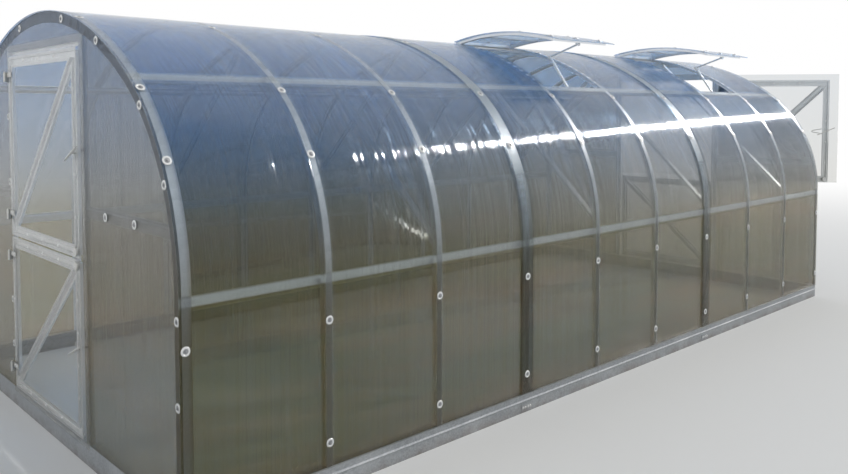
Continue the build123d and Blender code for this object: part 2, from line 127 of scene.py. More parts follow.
# %% Surround
pure_white = (1, 1, 1, 1)
fill_colour = (0.93, 0.96, 1.0, 1)
fill_strength = 0.62


def put(tree, kind, inputs=None, **options):
    """Add a node to a tree, set its options, and set each named input or link it to a socket."""
    made = tree.nodes.new(kind)
    for option, value in options.items():
        setattr(made, option, value)
    for name, value in (inputs or {}).items():
        if isinstance(value, bpy.types.NodeSocket):
            tree.links.new(value, made.inputs[name])
        else:
            made.inputs[name].default_value = value
    return made


def calculate(tree, operation, *values):
    """Result of one operation on numbers and sockets, such as a sum or the larger of two."""
    return put(tree, "ShaderNodeMath", dict(enumerate(values)), operation=operation).outputs[0]


def white_for_lookers(tree):
    """1 for rays from the camera, off a mirror or through glass, and 0 for light."""
    ray = put(tree, "ShaderNodeLightPath").outputs
    seen = calculate(tree, "MAXIMUM", ray["Is Camera Ray"], ray["Is Glossy Ray"])
    return calculate(tree, "MAXIMUM", seen, ray["Is Transmission Ray"])


surround = bpy.data.worlds.new("pale_surround")
surround.use_nodes = True
bpy.context.scene.world = surround
surround_tree = surround.node_tree
fill = put(surround_tree, "ShaderNodeBackground",
           {"Color": fill_colour, "Strength": fill_strength})
white = put(surround_tree, "ShaderNodeBackground", {"Color": pure_white, "Strength": 1.0})
both = put(surround_tree, "ShaderNodeMixShader",
           {0: white_for_lookers(surround_tree), 1: fill.outputs[0], 2: white.outputs[0]})
surround_tree.links.new(both.outputs[0],
                        surround_tree.nodes["World Output"].inputs["Surface"])
print("fill light of", fill_strength, "and white for those who look")

# %% [markdown]
# ## A paper floor without an edge
# The floor is pale paper that takes the house's shadow. Further off it turns by degrees into
# a plain white glow, again only for those who look, and so it has no edge against the
# background.

# %% Floor
floor_reach = 40.0
paper_colour = (0.80, 0.80, 0.79, 1)
paper_roughness = 0.9
glow_starts = 5.0
glow_full = 16.0


def surface_material(name):
    """A new material with its node tree, its shader and the place on the piece in metres."""
    material = bpy.data.materials.new(name)
    material.use_nodes = True
    tree = material.node_tree
    place = put(tree, "ShaderNodeTexCoord").outputs["Object"]
    return material, tree, tree.nodes["Principled BSDF"], place


def multiply(tree, one, other):
    """Product of two values."""
    return calculate(tree, "MULTIPLY", one, other)


floor_mesh = bpy.data.meshes.new("studio_floor")
floor_mesh.from_pydata([(-floor_reach, -floor_reach, 0), (floor_reach, -floor_reach, 0),
                        (floor_reach, floor_reach, 0), (-floor_reach, floor_reach, 0)],
                       [], [(0, 1, 2, 3)])
floor = bpy.data.objects.new("studio_floor", floor_mesh)
bpy.context.scene.collection.objects.link(floor)

paper, paper_tree, paper_shader, floor_place = surface_material("pale_paper")
paper_shader.inputs["Base Color"].default_value = paper_colour
paper_shader.inputs["Roughness"].default_value = paper_roughness
glow = put(paper_tree, "ShaderNodeEmission", {"Color": pure_white, "Strength": 1.0})
from_house = put(paper_tree, "ShaderNodeVectorMath",
                 {0: floor_place, 1: (-house_length / 2, 0, 0)}, operation="ADD")
distance = put(paper_tree, "ShaderNodeVectorMath", {0: from_house.outputs[0]},
               operation="LENGTH").outputs["Value"]
far_off = put(paper_tree, "ShaderNodeMapRange",
              {"Value": distance, "From Min": glow_starts, "From Max": glow_full},
              interpolation_type="SMOOTHSTEP").outputs[0]
faded = multiply(paper_tree, far_off, white_for_lookers(paper_tree))
paper_mix = put(paper_tree, "ShaderNodeMixShader",
                {0: faded, 1: paper_shader.outputs[0], 2: glow.outputs[0]})
paper_tree.links.new(paper_mix.outputs[0],
                     paper_tree.nodes["Material Output"].inputs["Surface"])
floor_mesh.materials.append(paper)
bpy.context.scene.view_settings.view_transform = "Standard"
print("floor", 2 * floor_reach, "m wide, white from", glow_full, "m off")

# %% [markdown]
# ## Surfaces that are worked out
# No picture is laid on any surface. A tree of nodes works out the colour of each point from
# its place in metres, by smooth noise, by ranges and by blends of two colours. Small
# functions make such a tree read like a sum: each adds one node and hands back its result.

# %% Noise, ranges and blends


def add(tree, one, other):
    """Sum of two values."""
    return calculate(tree, "ADD", one, other)


def part_of(tree, place, axis):
    """One of the three parts of a place, such as Z for the height above the ground."""
    return put(tree, "ShaderNodeSeparateXYZ", {0: place}).outputs[axis]


def noise(tree, place, scale, detail=3.0, rough=0.55):
    """Smooth random value at a place."""
    return put(tree, "ShaderNodeTexNoise", {"Vector": place, "Scale": scale, "Detail": detail,
                                            "Roughness": rough}).outputs["Fac"]


def spread(tree, value, low, high, to_low=0.0, to_high=1.0):
    """Value carried from one range to another and held inside it."""
    return put(tree, "ShaderNodeMapRange", {"Value": value, "From Min": low, "From Max": high,
                                            "To Min": to_low, "To Max": to_high}).outputs[0]


def blend_colours(tree, share, first, second):
    """Colour that goes from the first to the second as the share goes from 0 to 1."""
    mix = put(tree, "ShaderNodeMix", {0: share, 6: first, 7: second}, data_type="RGBA")
    return mix.outputs[2]


print("helpers made: add, part_of, noise, spread and blend_colours")

# %% [markdown]
# ## Zinc on steel
# Hot-dipped steel is never one grey. The zinc freezes into crystals some millimetres
# across, each of which mirrors a little differently, and later it dulls in cloudy patches.
# Close to the soil it gets dirty. Cells of a Voronoi texture are the crystals, a slow noise
# is the clouding, and the height above the ground says where splashes dry on it.

# %% Galvanised surfaces
dull_zinc = (0.66, 0.68, 0.69, 1)
soil_on_steel = (0.17, 0.13, 0.09, 1)
splash_height = 0.085
soil_roughness = 0.6
soil_metal = 0.1
facet_roughness = (0.29, 0.37)


def galvanised(name, dark, pale, grain, clouding, dirt=0.7, bare_metal=0.6):
    """Zinc crystals between two greys, clouded in patches and soiled near the ground."""
    material, tree, shader, place = surface_material(name)
    crystals = put(tree, "ShaderNodeTexVoronoi", {"Vector": place, "Scale": grain})
    facet = put(tree, "ShaderNodeSeparateColor",
                {0: crystals.outputs["Color"]}).outputs["Red"]
    zinc = blend_colours(tree, facet, (*dark, 1), (*pale, 1))
    cloud = spread(tree, noise(tree, place, 4.0, 5.0), 0.48, 0.72, 0.0, clouding)
    dulled = blend_colours(tree, cloud, zinc, dull_zinc)
    splash = spread(tree, part_of(tree, place, "Z"), 0.0, splash_height, 1.0, 0.0)
    patches = spread(tree, noise(tree, place, 9, 8, 0.7), 0.35, 0.75)
    soil = multiply(tree, multiply(tree, multiply(tree, splash, splash), patches), dirt)
    tree.links.new(blend_colours(tree, soil, dulled, soil_on_steel),
                   shader.inputs["Base Color"])
    rough = add(tree, spread(tree, facet, 0, 1, *facet_roughness), multiply(tree, cloud, 0.5))
    tree.links.new(add(tree, rough, multiply(tree, soil, soil_roughness)),
                   shader.inputs["Roughness"])
    tree.links.new(spread(tree, soil, 0, 1, bare_metal, soil_metal), shader.inputs["Metallic"])
    dents = put(tree, "ShaderNodeBump", {"Height": noise(tree, place, 12, 2),
                                         "Strength": 0.06, "Distance": 0.004})
    ridges = put(tree, "ShaderNodeBump", {"Height": facet, "Strength": 0.025,
                                          "Distance": 0.0006,
                                          "Normal": dents.outputs[0]})
    tree.links.new(ridges.outputs[0], shader.inputs["Normal"])
    return material


steel_finish = galvanised("galvanised_steel", (0.86, 0.88, 0.90), (0.92, 0.93, 0.95), 130, 0.20,
                          bare_metal=0.85)
# The base rail gets a darker copy of the same zinc: painted shade. The soil near its foot is
# dirt.
shaded_rail_finish = galvanised("shaded_rail_steel", (0.30, 0.32, 0.34), (0.44, 0.46, 0.48), 130, 0.35,
                         dirt=0.9)
zinc_finish = galvanised("bright_zinc", (0.52, 0.52, 0.50), (0.68, 0.68, 0.66), 260, 0.35)
opener_finish = galvanised("opener_alloy", (0.84, 0.85, 0.86), (0.92, 0.92, 0.93), 420, 0.15)
head_finish = galvanised("screw_head", (0.26, 0.27, 0.28), (0.36, 0.37, 0.38), 420, 0.15)
washer_finish = galvanised("washer_zinc", (0.70, 0.71, 0.71), (0.84, 0.84, 0.83), 420, 0.25)
print("zinc finishes:", *(finish.name for finish in (
    steel_finish, shaded_rail_finish, zinc_finish, opener_finish, head_finish, washer_finish)))

# %% [markdown]
# ## Ribs of a twin-wall sheet
# The sheets are two thin clear skins with a rib between them every six millimetres. You
# look through them, yet they are milky where many ribs stand behind each other. The ribs
# are far too many for the mesh, so stripes at the real spacing show them, and the surface
# between two ribs swells a little, which breaks up what it mirrors.

# %% Ribs
flute = 0.006
rib_starts = 0.36


def far_from(tree, value, middle):
    """Distance of a value from a middle, on either side of it."""
    return calculate(tree, "ABSOLUTE", calculate(tree, "SUBTRACT", value, middle))


def rib_share(tree, across):
    """1 at a rib and 0 between ribs: a place's share of its cell runs from 0 to 1, and at a
    rib it is furthest from a half."""
    share = calculate(tree, "FRACT", multiply(tree, across, 1 / flute))
    return spread(tree, far_from(tree, share, 0.5), rib_starts, 0.5)


def ripple(tree, across, axis, normal, most):
    """Normal tilted across the ribs: each cell bulges, so its slope follows a sine of the
    place in the cell, times a random amount up to the most that differs from rib to rib."""
    cells = multiply(tree, across, 1 / flute)
    chance = put(tree, "ShaderNodeTexWhiteNoise", {"W": calculate(tree, "FLOOR", cells)},
                 noise_dimensions="1D").outputs["Value"]
    bulge = calculate(tree, "SINE", multiply(tree, cells, 2 * math.pi))
    slope = multiply(tree, bulge, multiply(tree, multiply(tree, chance, chance), most))
    lean = put(tree, "ShaderNodeCombineXYZ", {axis: slope})
    tilted = put(tree, "ShaderNodeVectorMath", {0: normal, 1: lean.outputs[0]},
                 operation="ADD")
    return put(tree, "ShaderNodeVectorMath", {0: tilted.outputs[0]},
               operation="NORMALIZE").outputs[0]


print("ribs every", flute * 1000, "mm")

# %% [markdown]
# ## Steel that shows through
# Where the cover lies on an arch, the photograph shows the zinc pale and almost sharp, and the
# sun's line flares there. So the cover is rougher along each arch, and paler there too: painted
# light of the lit zinc behind the sheet. A purlin runs a little further in, and a pale line of
# painted light on the cover shows it lit. Looked at from eye height, the one on the wall shows
# slightly above its true height and the one on the shoulder below.
# A band is named by the distances from its middle where it starts to fade and is gone.

# %% Bands over arches and purlins
lap_arches = (3, 6)
flange_band = (0.010, 0.028)
flange_share = 0.75
lap_band = (0.036, 0.046)
mid_purlin_drop = 0.033
mid_purlin_z = wall_z - mid_purlin_drop
upper_purlin = math.radians(54)
upper_purlin_z = wall_z + shoulder_radius * math.sin(upper_purlin)
mid_seen_higher = 0.010
upper_seen_lower = 0.012
purlin_middles = (mid_purlin_z + mid_seen_higher, upper_purlin_z - upper_seen_lower)
purlin_halves = (0.019, 0.015)
purlin_fades = (0.7, 1.2)


def arch_bands(tree, x):
    """Strong where the cover lies on an arch and 0 between, fading over the width of a
    flange; the distance to the nearest arch is a wave that folds back every half bay. Where
    two sheets lap, the band is as wide as the lap and reaches 1."""
    nearest_arch = calculate(tree, "PINGPONG", x, bay / 2)
    from_middle = far_from(tree, x, house_length / 2)
    nearest_lap = far_from(tree, from_middle, house_length / 2 - lap_arches[0] * bay)
    return calculate(tree, "MAXIMUM",
                     spread(tree, nearest_arch, *flange_band, flange_share, 0.0),
                     spread(tree, nearest_lap, *lap_band, 1.0, 0.0))


def purlin_bands(tree, height):
    """1 where a purlin shows through the cover and its painted light goes, and 0 elsewhere,
    fading over its flanges.
    """
    bands = [spread(tree, far_from(tree, height, middle), *(fade * half for fade in purlin_fades),
                    1.0, 0.0)
             for middle, half in zip(purlin_middles, purlin_halves)]
    return calculate(tree, "MAXIMUM", *bands)


print("purlins show at heights of", *(round(z, 3) for z in purlin_middles), "m")

# %% [markdown]
# ## Colours of a sheet
# Low down the sheets look earthy and have a brown film, and towards the crown their colour turns
# blue: a painted reflection of the sky. What they mirror is tinted by height as well, a painted
# reflection of soil low down and of sky higher up. Rain has left streaks along the ribs, haze has
# settled in patches, and just above the ground the soil splashes up. Each pair of heights says
# where one look begins to change and where it has changed.

# %% Sheet colours
film_brown = (0.25, 0.135, 0.030, 1)
streak_grey = (0.26, 0.31, 0.34, 1)
haze_grey = (0.16, 0.18, 0.16, 1)
rib_grey = (0.52, 0.56, 0.56, 1)
soil_on_sheet = (0.17, 0.14, 0.09, 1)
# Pale colours painted on the cover over arches and purlins: painted light of the lit steel behind
# the sheet.
arch_painted_light = (0.50, 0.58, 0.64, 1)
purlin_painted_light = (0.62, 0.68, 0.70, 1)
# Tint of what a sheet mirrors, by height: a painted reflection of brown soil low down and of blue
# sky higher up.
painted_soil_reflection = (0.62, 0.50, 0.22, 1)
painted_sky_reflection = (0.27, 0.53, 1.0, 1)

film_heights = (0.7, 1.3)
# Between these heights the colour turns into the crown's blue, a painted reflection of the sky.
painted_sky_heights = (0.9, 2.1)
painted_reflection_heights = (0.7, 1.7)
soil_heights = (0.10, 0.42)
film_most = 0.75
streak_most = 0.16
haze_most = 0.16
rib_most = 0.20


def wall_to_crown(tree, place, height, body, crown):
    """The wall's tint under its brown film, which goes over into the crown's blue, a painted
    reflection of the sky.
    """
    drawn_out = put(tree, "ShaderNodeMapping", {"Vector": place, "Scale": (0.45, 0.45, 4.5)})
    film = multiply(tree, spread(tree, noise(tree, drawn_out.outputs[0], 1.0, 4.0), 0.42, 0.66),
                    spread(tree, height, *film_heights, film_most, 0.0))
    wall = blend_colours(tree, film, (*body, 1), film_brown)
    return blend_colours(tree, spread(tree, height, *painted_sky_heights), wall, (*crown, 1))


def weathered(tree, tint, across, height, haze):
    """The tint under streaks along the ribs, haze, and the ribs themselves."""
    along = put(tree, "ShaderNodeCombineXYZ", {0: multiply(tree, across, 30.0),
                                               1: multiply(tree, height, 0.6)})
    streak = spread(tree, noise(tree, along.outputs[0], 1.0, 4.0, 0.6), 0.35, 0.75,
                    0.0, streak_most)
    patch = spread(tree, haze, 0.40, 0.75, 0.0, haze_most)
    hazed = blend_colours(tree, patch, blend_colours(tree, streak, tint, streak_grey), haze_grey)
    rib = multiply(tree, rib_share(tree, across), rib_most)
    return blend_colours(tree, rib, hazed, rib_grey)


def splashed_soil(tree, place, height):
    """Fine specks of soil, thick at the base rail and gone at knee height."""
    low = spread(tree, height, *soil_heights, 1.0, 0.0)
    specks = spread(tree, noise(tree, place, 170, 6, 0.65), 0.45, 0.75)
    return multiply(tree, multiply(tree, low, low), specks)


print("sheets go from earthy to blue between heights of", painted_sky_heights, "m")

# %% [markdown]
# ## See-through and gloss
# True glass would bend every ray through a thousand cells and would take hours. Here each
# skin lets a fixed share of a look pass straight, and blurs and tints most of the rest, so
# near steel stays sharp and far steel goes soft. A look along the house crosses many skins,
# so up to forty of them may be passed straight. Light runs out sideways across the ribs, so an
# anisotropic gloss on the cover stretches each highlight along the house. That is what draws
# the sun's line.

# %% See-through and gloss
lamp_share_stopped = 0.4
skins_passed = 40
quarter_turn = 0.25
bpy.context.scene.cycles.transparent_max_bounces = skins_passed


def opacity(tree, see_through):
    """What the sheet stops: all but its see-through share of a look, and much less of the
    lamp's light, because the cells scatter a lamp's rays on into the house."""
    stopped = 1 - see_through
    to_lamp = put(tree, "ShaderNodeLightPath").outputs["Is Shadow Ray"]
    return spread(tree, to_lamp, 0, 1, stopped, lamp_share_stopped * stopped)


def stretch_gloss(tree, shader, around, amount):
    """Stretch highlights at a right angle to the circles round one axis."""
    shader.inputs["Anisotropic"].default_value = amount
    shader.inputs["Anisotropic Rotation"].default_value = quarter_turn
    circle = put(tree, "ShaderNodeTangent", direction_type="RADIAL", axis=around)
    tree.links.new(circle.outputs[0], shader.inputs["Tangent"])


print("skins stop", lamp_share_stopped, "times as much of the lamp's light as of a look")

# %% [markdown]
# ## Clear sheets
# The cover, the gables and the leaves are the same kind of sheet, but they differ in tint and in
# how much shows through, and the sheets of the leaves are almost clear. On the cover the bands of
# painted light over arches and purlins come on top, and an arch's band is weaker low on the wall.

# %% Clear sheets
rib_slope = 0.33
leaf_slope = 0.08
soil_most = 0.5
band_heights = (0.75, 1.35)
band_shares = (0.30, 1.0)
purlin_share = 0.75
sheet_roughness = (0.055, 0.090)
roughness_on_arch = 0.22
gloss_stretch = 0.97
sheet_ior = 1.38
tinted_share = 0.85


def clear_sheet(name, axis, body, crown, see_through, on_arches=False, most_slope=rib_slope):
    """Sheet with ribs that repeat along X or Y, its weathering and its wavy gloss."""
    material, tree, shader, place = surface_material(name)
    across = part_of(tree, place, axis)
    height = part_of(tree, place, "Z")
    haze = noise(tree, place, 1.1, 3.0)
    tint = wall_to_crown(tree, place, height, body, crown)
    soil = splashed_soil(tree, place, height)
    soiling = multiply(tree, soil, soil_most)
    coloured = blend_colours(tree, soiling, weathered(tree, tint, across, height, haze),
                             soil_on_sheet)
    rough = spread(tree, haze, 0.3, 0.8, *sheet_roughness)
    # Painted light: the cover is paler over arches and purlins, where the lit steel behind it
    # shows; over arches it is also rougher.
    if on_arches:
        arch_light_band = multiply(tree, arch_bands(tree, across),
                        spread(tree, height, *band_heights, *band_shares))
        purlin_light = multiply(tree, purlin_bands(tree, height), purlin_share)
        coloured = blend_colours(tree, arch_light_band, coloured, arch_painted_light)
        coloured = blend_colours(tree, purlin_light, coloured, purlin_painted_light)
        rough = add(tree, rough, multiply(tree, arch_light_band, roughness_on_arch))
        stretch_gloss(tree, shader, axis, gloss_stretch)
    tree.links.new(coloured, shader.inputs["Base Color"])
    tree.links.new(add(tree, rough, soiling), shader.inputs["Roughness"])
    wave = put(tree, "ShaderNodeBump", {"Height": noise(tree, place, 2.6, 2.0),
                                        "Strength": 0.10, "Distance": 0.02})
    tree.links.new(ripple(tree, across, axis, wave.outputs[0], most_slope),
                   shader.inputs["Normal"])
    # Painted reflection: the gloss is tinted like soil on the walls and like sky towards the
    # crown.
    painted_reflection = blend_colours(tree, spread(tree, height, *painted_reflection_heights), painted_soil_reflection,
                             painted_sky_reflection)
    tree.links.new(painted_reflection, shader.inputs["Specular Tint"])
    shader.inputs["IOR"].default_value = sheet_ior
    shader.inputs["Transmission Weight"].default_value = tinted_share
    tree.links.new(opacity(tree, see_through), shader.inputs["Alpha"])
    return material


# The second colour of each sheet is its tint at the crown, a painted reflection of the sky.
cover_finish = clear_sheet("twin_wall_cover", "X", (0.138, 0.124, 0.020), (0.010, 0.20, 0.60),
                           0.30, on_arches=True)
gable_finish = clear_sheet("twin_wall_gable", "Y", (0.14, 0.115, 0.035), (0.07, 0.17, 0.34), 0.32)
leaf_finish = clear_sheet("twin_wall_leaf", "Y", (0.20, 0.20, 0.14), (0.24, 0.30, 0.34), 0.76,
                          most_slope=leaf_slope)
print("sheet finishes:", cover_finish.name, gable_finish.name, leaf_finish.name)

# %% [markdown]
# ## Dress the solids
# Each CAD node keeps its mesh, and only its material slots change. The list goes by what a
# node is made of, so a node that is added later falls under the same rule by its name.

# %% Finishes on the CAD nodes


def finish_for(name):
    """Finish of a CAD node, by the words in its name."""
    if "cover_sheet" in name or name.startswith("vent") and name.endswith("sheet"):
        return cover_finish
    if "leaf_sheet" in name:
        return leaf_finish
    if "sheet" in name:
        return gable_finish
    if name.startswith("base"):
        return shaded_rail_finish
    if "opener" in name:
        return opener_finish
    if "hinge" in name or "latches" in name:
        return zinc_finish
    return steel_finish


for name, solid in nodes.items():
    if solid.data.materials:
        for index in range(len(solid.data.materials)):
            solid.data.materials[index] = finish_for(name)
    else:
        solid.data.materials.append(finish_for(name))
print("dressed", len(nodes), "solids")

# %% [markdown]
# ## Where things sit on the house
# Screws follow the frame under the sheets, so their places come from the same few sizes as
# the solids. A point on the roof's outline is named by its height while it is on the wall,
# and by the slope of the skin's normal once it is on an arc. Each place gives an origin and
# three axes, with the third one pointing straight out of the sheet.

# %% Places on the skin and the gables
end_leg_out = 0.012
gable_face = end_leg_out + sheet_thickness


def axes_for(outward, along):
    """Three axes as columns for a piece on a surface: across, along and outward."""
    outward = np.array(outward, float)
    along = np.array(along, float)
    return np.stack([np.cross(along, outward), along, outward], axis=-1)


def on_skin(side, x, climb=None, z=None, lift=0.0):
    """Origin and axes on the cover: on the wall at height z, or on an arc where the normal
    climbs by an angle; the arc's point is its centre plus its radius along that normal."""
    if climb is None:
        normal = np.array([0, side, 0.0])
        origin = np.array([x, side * half_width, z])
    else:
        normal = np.array([0, side * math.cos(climb), math.sin(climb)])
        if climb < shoulder_climb:
            origin = np.array([x, side * shoulder_y, wall_z]) + shoulder_radius * normal
        else:
            origin = np.array([x, 0, crown_z]) + crown_radius * normal
    return origin + lift * normal, axes_for(normal, (1, 0, 0))


def gable_end(out):
    """Place along the house of the front (out -1) or rear (out 1) end arch."""
    return house_length if out > 0 else 0.0


def on_gable(out, y, z, lift=0.0):
    """Origin and axes on the outside of the front (out -1) or rear (out 1) gable sheets."""
    face = gable_end(out) + out * (gable_face + lift)
    return np.array([face, y, z]), axes_for((out, 0, 0), (0, 0, 1))


print("gable sheets stand", round(gable_face * 1000), "mm out")

# %% [markdown]
# ## Where things sit on a door leaf
# A leaf is measured from its hinge line. Three leaves are shut, and the upper one at the
# rear stands open as in the photograph, so its screws have to turn with it.

# %% Places on the leaves
steel = 0.0012
leaf_standoff = 0.006
hinge_radius = 0.007
hinge_y = 0.53
hinge_out = gable_face + leaf_standoff + sheet_thickness + hinge_radius + steel
leaf_skin = -(hinge_radius + steel)

sill = 0.105
door_split = 0.965
doorway_top = 1.955
door_gap = 0.008
leaf_low = {"lower": sill + door_gap, "upper": door_split + door_gap / 2}
leaf_high = {"lower": door_split - door_gap / 2, "upper": doorway_top - door_gap}
rest_turn = {name: 0.0 for name in ("front_lower", "front_upper", "rear_lower", "rear_upper")}
rest_turn["rear_upper"] = math.radians(143)


def outwards(leaf):
    """1 for a leaf of the rear gable and -1 for one of the front gable."""
    return 1 if leaf.startswith("rear") else -1


def on_leaf(leaf, across, z, out_of_skin=0.0):
    """Origin and axes on a door leaf, measured from its hinge line across the leaf; the
    leaf's own directions are those of the closed door turned about the hinge."""
    out = outwards(leaf)
    turn = rest_turn[leaf]
    over = np.array([out * math.sin(turn), out * math.cos(turn), 0])
    away = np.array([out * math.cos(turn), -out * math.sin(turn), 0])
    hinge = np.array([gable_end(out) + out * hinge_out, -out * hinge_y, 0])
    origin = hinge + across * over + (leaf_skin + out_of_skin) * away + np.array([0, 0, z])
    return origin, axes_for(away, (0, 0, 1))


print("open leaf turned by", round(math.degrees(rest_turn["rear_upper"])), "degrees")

# %% [markdown]
# ## A screw is turned, not cut
# Every roofing screw has the same form, a round washer with a soft seal in its hollow and a
# six-sided head on that. A profile of a few points, carried round an axis, gives the closed
# surface, and the head gets only six steps so that its flats come out by themselves.

# %% Turned templates


def turned(profile, around):
    """Closed solid of revolution: each (radius, height) of the outline is carried round Z in
    equal steps; the first and the last point lie on the axis and close it."""
    radius, rise = np.array(profile, float).T
    step = np.arange(around)
    turn = step * 2 * np.pi / around
    rows = len(radius) - 2
    ring = np.empty((rows, around, 3))
    ring[..., 0] = radius[1:-1, None] * np.cos(turn)
    ring[..., 1] = radius[1:-1, None] * np.sin(turn)
    ring[..., 2] = rise[1:-1, None]
    corners = np.vstack([[[0, 0, rise[0]]], ring.reshape(-1, 3), [[0, 0, rise[-1]]]])
    after = (step + 1) % around
    faces = [(0, int(1 + b), int(1 + a)) for a, b in zip(step, after)]
    for row in range(rows - 1):
        low, high = 1 + row * around, 1 + (row + 1) * around
        faces += [(int(low + a), int(low + b), int(high + b), int(high + a))
                  for a, b in zip(step, after)]
    top = 1 + (rows - 1) * around
    faces += [(int(top + a), int(top + b), len(corners) - 1) for a, b in zip(step, after)]
    return corners, faces


def joined(*templates):
    """Several templates as one list of corners and faces."""
    corners, faces, used = [], [], 0
    for points, polygons in templates:
        corners.append(points)
        faces += [tuple(used + index for index in polygon) for polygon in polygons]
        used += len(points)
    return np.vstack(corners), faces


print("helpers made: turned and joined")

# %% [markdown]
# ## One template at many places
# The same screw is needed at hundreds of places. One product of arrays sets it down at all of
# them, which is far quicker than hundreds of objects and makes one mesh for each body that
# carries it. Smooth shading with sharp edges keeps both the round rims and the flats.

# %% Set a template down
sharp_from = math.radians(35)


def set_down(name, template, places, finish, body):
    """One mesh with the template at every place: each of its corners is turned by the
    place's axes and moved to the place's origin."""
    corners, faces = template
    origins = np.array([place[0] for place in places])
    axes = np.array([place[1] for place in places])
    spots = origins[:, None, :] + np.einsum("pij,cj->pci", axes, corners)
    polygons = [tuple(index + copy * len(corners) for index in polygon)
                for copy in range(len(places)) for polygon in faces]
    mesh = bpy.data.meshes.new(name)
    mesh.from_pydata(spots.reshape(-1, 3).tolist(), [], polygons)
    mesh.materials.append(finish)
    mesh.polygons.foreach_set("use_smooth", np.ones(len(mesh.polygons), bool))
    mesh.set_sharp_from_angle(angle=sharp_from)
    piece = bpy.data.objects.new(name, mesh)
    bpy.context.scene.collection.objects.link(piece)
    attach(piece, body)
    print(name, "x", len(places), "with", len(mesh.polygons), "faces")


print("edges sharper than", round(math.degrees(sharp_from)), "degrees stay sharp")

# %% [markdown]
# ## The screws themselves
# The outlines are in metres, first the radius and then the height above the sheet. A roofing
# screw comes in two pieces, because its washer is pale and its seal and head are dark. The
# frame's own bolts are small and plain, with a nut on the other side of the steel.

# %% Washers, heads and nuts
washer = turned([(0, 0), (0.0185, 0), (0.020, 0.0009), (0.0186, 0.0026), (0.0128, 0.0034),
                 (0.0112, 0.0020), (0, 0.0020)], 18)
seal = turned([(0, 0.0019), (0.0110, 0.0020), (0.0102, 0.0030), (0, 0.0032)], 12)
hex_head = turned([(0, 0.0028), (0.0052, 0.0030), (0.0052, 0.0062), (0.0042, 0.0068),
                   (0, 0.0068)], 6)
sealed_head = joined(seal, hex_head)
small_washer = turned([(0, 0), (0.0068, 0), (0.0074, 0.0005), (0.0068, 0.0012), (0, 0.0014)], 12)
small_head = turned([(0, 0.0010), (0.0044, 0.0012), (0.0044, 0.0040), (0.0036, 0.0046),
                     (0, 0.0046)], 6)
small_screw = joined(small_washer, small_head)
nut = turned([(0, -0.0072), (0.0024, -0.0072), (0.0026, -0.0068), (0.0026, -0.0060),
              (0.0052, -0.0060), (0.0057, -0.0055), (0.0057, -0.0026), (0, -0.0025)], 6)
bolt = joined(small_screw, nut)


def roof_screws(name, places, body):
    """A pale washer at every place, with the dark seal and head of its screw inside it."""
    set_down(name + "_washers", washer, places, washer_finish, body)
    set_down(name + "_heads", sealed_head, places, head_finish, body)


print("washer of", len(washer[1]), "faces, sealed head of", len(sealed_head[1]),
      "and bolt of", len(bolt[1]))

# %% [markdown]
# ## Screws through the cover
# The photograph shows pale round washers on every arch: two on the wall, two on the
# shoulder, and one more higher up where the crown hides it from below. Where two sheets
# lap, the screw goes through both, so its washer stands one sheet's thickness further out.

# %% Roofing screws on the arches
washer_heights = (0.211, 0.7515)
washer_climbs = np.radians((28.8, 48.8, 74.3))
cover_places = []
for arch in range(bay_count + 1):
    lift = sheet_thickness if arch in lap_arches else 0.0
    for side in (-1, 1):
        cover_places += [on_skin(side, arch * bay, z=z, lift=lift) for z in washer_heights]
        cover_places += [on_skin(side, arch * bay, climb=climb, lift=lift)
                         for climb in washer_climbs]
roof_screws("cover", cover_places, "house")

# %% [markdown]
# ## Screws through the gables
# Flat sheets are held on their posts and bars, every thirty or forty centimetres. Along the
# arched edge the screws keep one distance from the skin, so their places are points of the
# same outline moved inwards. Beside a doorway they stand on the hinge side's post only.

# %% Roofing screws on the gables
post_y = 0.54
post_heights = (0.35, 0.60, 1.26, 1.62)
crossbar_z = 1.19
crossbar_ys = (0.80, 1.10)
edge_inset = 0.034
edge_heights = np.linspace(0.20, 0.86, 3)
edge_climbs = np.radians((24, 45, 66, 80))
gable_places = []
for out in (-1, 1):
    for side in (-1, 1):
        if side == -out:
            gable_places += [on_gable(out, side * post_y, z) for z in post_heights]
        gable_places += [on_gable(out, side * (half_width - edge_inset), z)
                         for z in edge_heights]
        gable_places += [on_gable(out, side * y, crossbar_z) for y in crossbar_ys]
        for climb in edge_climbs:
            spot, _ = on_skin(side, 0, climb=climb, lift=-edge_inset)
            gable_places.append(on_gable(out, spot[1], spot[2]))
roof_screws("gable", gable_places, "house")

# %% [markdown]
# ## Screws through the leaves
# A leaf's sheet is light and hangs on smaller screws, four along each stile and three along
# its top and its bottom bar. Those on the stiles keep clear of the turn button and lever.

# %% Screws on the leaves
stile_across = (0.058, 1.002)
bar_across = (0.30, 0.53, 0.76)
bar_inset = 0.030
clear_of_latch = 0.19
for leaf in rest_turn:
    part = leaf.split("_")[1]
    low, high = leaf_low[part], leaf_high[part]
    rows = np.linspace(low + clear_of_latch, high - clear_of_latch, 4)
    places = [on_leaf(leaf, across, z) for across in stile_across for z in rows]
    places += [on_leaf(leaf, across, z) for across in bar_across
               for z in (low + bar_inset, high - bar_inset)]
    set_down(leaf + "_screws", small_screw, places, washer_finish, leaf + "_leaf")

# %% [markdown]
# ## The opened lids
# A lid is a piece of the crown's own arc, turned up about its hinge. Its centre turns with
# it, so a screw's place is first a direction from the turned centre and then a radius.

# %% Screws on the lids
vent_bays = (4, 7)
vent_hinge_y = -0.25
vent_turn = math.radians(20)
lid_gap = 0.006
lid_angles = np.radians((99.5, 104.5, 115.5, 123.6))
lid_screw_x = 0.264
vent_hinge_z = crown_z + math.sqrt(crown_radius ** 2 - vent_hinge_y ** 2) + lid_gap


